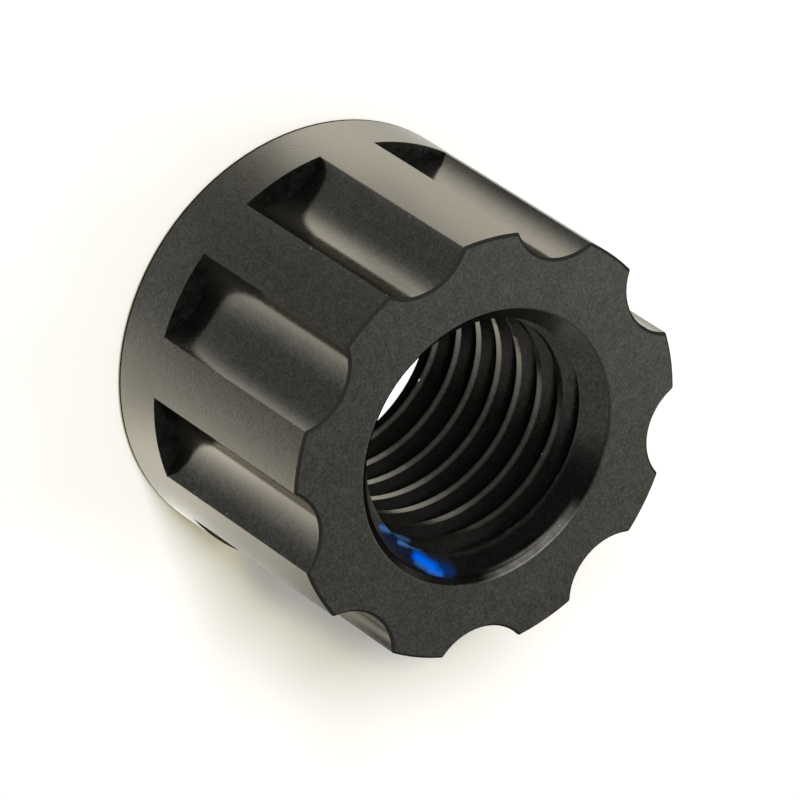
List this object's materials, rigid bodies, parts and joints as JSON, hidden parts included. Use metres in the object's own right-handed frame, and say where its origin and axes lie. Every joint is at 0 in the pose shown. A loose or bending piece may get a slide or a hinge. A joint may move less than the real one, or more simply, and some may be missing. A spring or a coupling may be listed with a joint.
{
  "type": "axle nut",
  "caption": "Round axle nut with concave flutes that stop at a plain collar, threaded right through, with a countersink at each end.",
  "frame": {"origin": "centre of the plain collar's rear face, where the nut bears on its seat", "axes": "+Z along the thread's axis, from the collar to the fluted front face; +X through the middle of a flute"},
  "size_m": [0.019, 0.019, 0.0136],
  "materials": {
    "black_metal": "fine bead-blasted, black anodised"
  },
  "bodies": {
    "root": {"axle_nut": "black_metal"}
  },
  "joints": []
}
